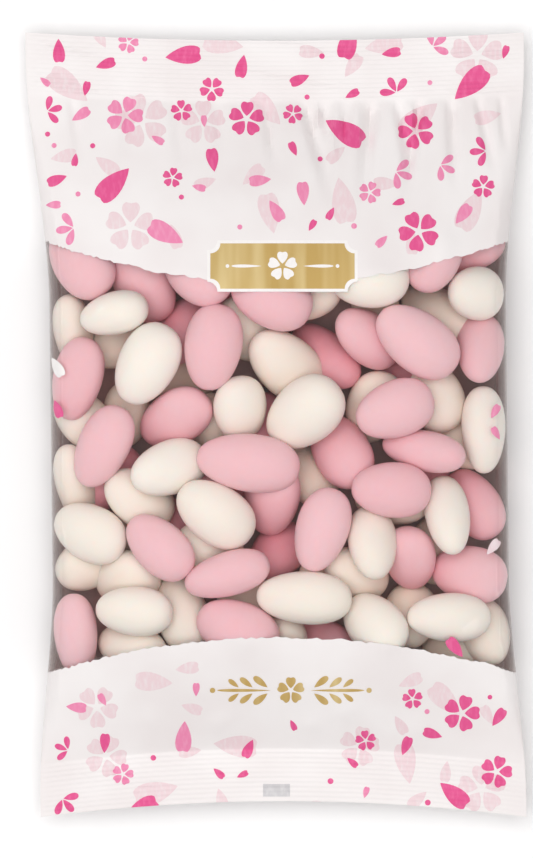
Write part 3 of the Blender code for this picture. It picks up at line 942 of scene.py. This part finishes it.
def printFilm(film, inks):
    chance = np.random.default_rng(printForm["seed"])
    outlines = {"magenta": [], "pink": [], "pale": [], "white": []}
    for atTop, kinds, paleKinds in ((True, "top", "paleTop"), (False, "foot", "paleFoot")):
        for *motif, inkShare in scatterMotifs(chance, printForm[kinds], atTop, printForm["room"]):
            ink = "magenta" if inkShare < printForm["magentaShare"] else "pink"
            outlines[ink] += motifOutlines(*motif)
        for *motif, _ in scatterMotifs(chance, printForm[paleKinds], atTop, printForm["paleRoom"]):
            outlines["pale"] += motifOutlines(*motif)
    for x, y, length, turn, ink in windowPetals:
        outlines[ink].append(turnOutline(petalOutline(length, length * 0.5, start=-length / 2), turn, x, y))
    plaque = printForm["plaqueMiddle"]
    outlines["white"].append(turnOutline(plaqueOutline(printForm["plaqueRim"]), 0, *plaque))
    gold = [turnOutline(outline, 0, *printForm["ornamentMiddle"]) for outline in ornamentOutlines()]
    gold.append(turnOutline(plaqueOutline(0), 0, *plaque))
    left, low, right, high = printForm["seamPatch"]
    layers = (
        # name, shapes, ink and how far it stands off the film in mm
        ("palePetals", outlines["pale"], "pale", 0.03),
        ("whitePetals", outlines["white"], "white", 0.05),
        ("pinkPetals", outlines["pink"], "pink", 0.07),
        ("magentaPetals", outlines["magenta"], "magenta", 0.07),
        ("goldPrint", gold, "gold", 0.09),
        ("plaqueMark", plaqueMark(*plaque), "white", 0.12),
        ("seamEnd", [[(left, low), (right, low), (right, high), (left, high)]], "seam", 0.05),
    )
    for name, shapes, ink, lift in layers:
        printOnFilm(name, film, shapes, inks[ink], lift)


# Materials

# the second colour of each sugar is painted shade, mixed in for almonds that lie deep in the heap, and a
# little at random as each almond's own tone
sugarLooks = {
    "pink": ("pink panned sugar", "#F1CBD1", "#E38D9B"),
    "cream": ("cream panned sugar", "#F6F0E9", "#E8D1C0"),
}
inkLooks = {
    "magenta": ("magenta flexo ink", "#E2558F", "#E8699C"),
    "pink": ("pink flexo ink", "#EB89B0", "#EF9DBD"),
    "pale": ("pale pink flexo ink", "#EAD2D6", "#ECDDDF"),
    "white": ("white flexo ink", "#F5F1EF", "#F1EDEB"),
    "gold": ("gold flexo ink", "#C9A763", "#E3CB93", (150, 14), 8, 0.3, 0.15),
    "seam": ("lap seam seen through the film", "#CDCACC", "#D8D5D6"),
}
# painted shade on the clear film, by height: it lets less light through towards the floor, so the gaps between
# the almonds look dark and deep
paintedFilmShade = {
    "upTo": 16.5,
    "stops": ((0.08, "#CEB1AF"), (0.22, "#A6908E"), (0.5, "#AD9E9B"), (0.7, "#C2B6B5"), (1.0, "#FFFFFE")),
}


def makeSugar(name, pale, paintedShade):
    # Panned sugar shell, tumbled and polished to satin: light sinks in a little, so shadows stay warm.
    material, shader = newMaterial(name, {"Roughness": 0.46, "Subsurface Weight": 0.4,
                                          "Subsurface Radius": (1.0, 0.4, 0.3), "Subsurface Scale": 2.0 * mm})
    links = material.node_tree.links
    place = addNode(material, "TexCoord").outputs["Object"]
    paintedShadeAndTone = addNode(material, "Attribute", attribute_name="shade")
    # Sugar crystals make a mottling of about 1.5 mm, drawn coarser than their 0.1 mm grain so it shows.
    mottle = addNode(material, "TexNoise", {"Scale": 650, "Detail": 3}, {"Vector": place})
    spread = addNode(material, "Math", {1: 0.14}, {0: mottle.outputs["Fac"]}, operation="MULTIPLY")
    # painted shade by depth and each almond's own tone, with the mottling, mix the pale colour towards the
    # deeper one
    total = addNode(material, "Math", {1: 0.9}, {0: paintedShadeAndTone.outputs["Fac"], 2: spread.outputs[0]},
                    operation="MULTIPLY_ADD")
    colour = addNode(material, "Mix", {6: toLinear(pale), 7: toLinear(paintedShade)}, {0: total.outputs[0]},
                     data_type="RGBA")
    # the tumbling leaves slight waves of about 3 mm
    waves = addNode(material, "TexNoise", {"Scale": 330, "Detail": 4, "Roughness": 0.6}, {"Vector": place})
    bump = addNode(material, "Bump", {"Strength": 0.12, "Distance": 0.4 * mm},
                   {"Height": waves.outputs["Fac"]})
    links.new(colour.outputs[2], shader.inputs["Base Color"])
    links.new(bump.outputs[0], shader.inputs["Normal"])
    return material


def makeClearFilm():
    # Clear polypropylene film, cast thin and heat sealed: all but invisible from the front, glossy at a slant,
    # with painted shade tinted into it towards the floor.
    material, shader = newMaterial("clear polypropylene film")
    nodes, links = material.node_tree.nodes, material.node_tree.links
    nodes.remove(shader)
    place = addNode(material, "TexCoord").outputs["Object"]
    # handling leaves ripples of about 17 mm
    ripples = addNode(material, "TexNoise", {"Scale": 60, "Detail": 2}, {"Vector": place})
    bump = addNode(material, "Bump", {"Strength": 0.15, "Distance": 1.0 * mm},
                   {"Height": ripples.outputs["Fac"]})
    fresnel = addNode(material, "Fresnel", {"IOR": 1.49}, {"Normal": bump.outputs[0]})
    rim = addNode(material, "Math", {1: 0.24}, {0: fresnel.outputs[0]}, operation="MINIMUM")
    # painted shade: what the film lets through is darkened the lower it lies, which darkens the gaps between
    # the almonds
    height = addNode(material, "SeparateXYZ", {}, {0: place})
    low = addNode(material, "MapRange", {"From Min": 0, "From Max": paintedFilmShade["upTo"] * mm},
                  {"Value": height.outputs["Z"]})
    under = addNode(material, "ValToRGB", {}, {"Fac": low.outputs[0]},
                    stops=[(position, toLinear(tint)) for position, tint in paintedFilmShade["stops"]])
    clear = addNode(material, "BsdfTransparent", {}, {"Color": under.outputs[0]})
    gloss = addNode(material, "BsdfGlossy", {"Color": (1, 1, 1, 1), "Roughness": 0.12},
                    {"Normal": bump.outputs[0]})
    mix = addNode(material, "MixShader", {},
                  {0: rim.outputs[0], 1: clear.outputs[0], 2: gloss.outputs[0]})
    links.new(mix.outputs[0], nodes["Material Output"].inputs["Surface"])
    return material


def makeWhitePrint():
    # White flexo ink on the same film: soft gloss, thin enough for a breath of the pink behind it.
    material, shader = newMaterial("white flexo print on film", {"Roughness": 0.38})
    place = addNode(material, "TexCoord").outputs["Object"]
    behind = addNode(material, "TexNoise", {"Scale": 42, "Detail": 2, "Roughness": 0.45}, {"Vector": place})
    ramp = addNode(material, "ValToRGB", {}, {"Fac": behind.outputs["Fac"]},
                   stops=((0.36, toLinear("#ECE5E4")), (0.62, toLinear("#F1ECEB"))))
    material.node_tree.links.new(ramp.outputs[0], shader.inputs["Base Color"])
    return material


def makeInk(name, full, thin, grain=(900, 320), turn=35, roughness=0.36, metallic=0.0):
    # Flexo ink in one pass, with thin places about 1 mm wide where the plate inked unevenly.
    material, shader = newMaterial(name, {"Roughness": roughness, "Metallic": metallic})
    place = addNode(material, "TexCoord").outputs["Object"]
    streaks = addNode(material, "Mapping",
                      {"Scale": (*grain, 0), "Rotation": (0, 0, math.radians(turn))}, {"Vector": place})
    noise = addNode(material, "TexNoise", {"Scale": 1, "Detail": 2}, {"Vector": streaks.outputs[0]})
    ramp = addNode(material, "ValToRGB", {}, {"Fac": noise.outputs["Fac"]},
                   stops=((0.45, toLinear(full)), (0.72, toLinear(thin))))
    material.node_tree.links.new(ramp.outputs[0], shader.inputs["Base Color"])
    return material


# Camera, light and floor

cameraSettings = {
    "lens": 300,
    "sensor": 36,
    "middle": (-2.76, -1.35),
    "frameHeight": 257.4,
    "focusHeight": 16.0,
}


def addCamera():
    sensor, lens = cameraSettings["sensor"], cameraSettings["lens"]
    distance = cameraSettings["frameHeight"] * lens / sensor + cameraSettings["focusHeight"]
    x, y = cameraSettings["middle"]
    bpy.ops.object.camera_add(location=(x * mm, y * mm, distance * mm), rotation=(0, 0, 0))
    camera = bpy.context.object
    camera.data.lens = lens
    camera.data.sensor_width = sensor
    camera.data.clip_end = 20
    bpy.context.scene.camera = camera


lightSettings = {
    "sky": 0.36,
    "skyStops": ((0.05, (0.4, 0.4, 0.4, 1)), (0.55, (1.1, 1.095, 1.09, 1))),
    "keyPlace": (-0.16, 0.02, 1.4),
    "keyPower": 16.0,
    "keySize": 1.5,
    "sidePlaces": ((-0.75, 0.35, 0.55), (0.7, -0.45, 0.5)),
    "sidePower": 0.9,
    "sideSize": (0.9, 0.25),
}


def addSoftBox(place, power, shape):
    bpy.ops.object.light_add(type="AREA", location=place)
    light = bpy.context.object
    light.data.energy = power
    light.data.shape = shape
    light.rotation_euler = (-Vector(place)).to_track_quat("-Z", "Y").to_euler()
    return light


def addLight():
    world = bpy.data.worlds.new("studio")
    world.use_nodes = True
    bpy.context.scene.world = world
    background = world.node_tree.nodes["Background"]
    background.inputs["Strength"].default_value = lightSettings["sky"]
    # darker towards the horizon, as in a studio with the light overhead
    place = addNode(world, "TexCoord")
    parts = addNode(world, "SeparateXYZ", {}, {0: place.outputs["Generated"]})
    ramp = addNode(world, "ValToRGB", {}, {"Fac": parts.outputs["Z"]}, stops=lightSettings["skyStops"])
    world.node_tree.links.new(ramp.outputs[0], background.inputs["Color"])
    key = addSoftBox(lightSettings["keyPlace"], lightSettings["keyPower"], "DISK")
    key.data.size = lightSettings["keySize"]
    key.visible_glossy = False      # a polarised light: no glare on the film
    # two low soft boxes draw a narrow gloss along the folds of the film
    for place in lightSettings["sidePlaces"]:
        side = addSoftBox(place, lightSettings["sidePower"], "RECTANGLE")
        side.data.size, side.data.size_y = lightSettings["sideSize"]
    bpy.context.scene.view_settings.view_transform = "Standard"


def addFloor():
    bpy.ops.mesh.primitive_plane_add(size=6, location=(0, 0, -0.0004))
    floor = bpy.context.object
    floor.name = "floor"
    material, _ = newMaterial("matt white board", {"Base Color": toLinear("#FEFDFD"), "Roughness": 0.9})
    floor.data.materials.append(material)


addCamera()
addLight()
addFloor()
print("stage ready")
placed = fillGaps(placeSeenAlmonds())
buildAlmonds(placed, {name: makeSugar(*look) for name, look in sugarLooks.items()})
print("almonds ready:", len(placed))
clearFilm, whitePrint = makeClearFilm(), makeWhitePrint()
film = buildFilm(placed, clearFilm, whitePrint)
print("film ready:", len(film.data.polygons), "faces")
printFilm(film, {name: makeInk(*look) for name, look in inkLooks.items()})
addBackSeam(film, clearFilm, whitePrint)
print("print ready")
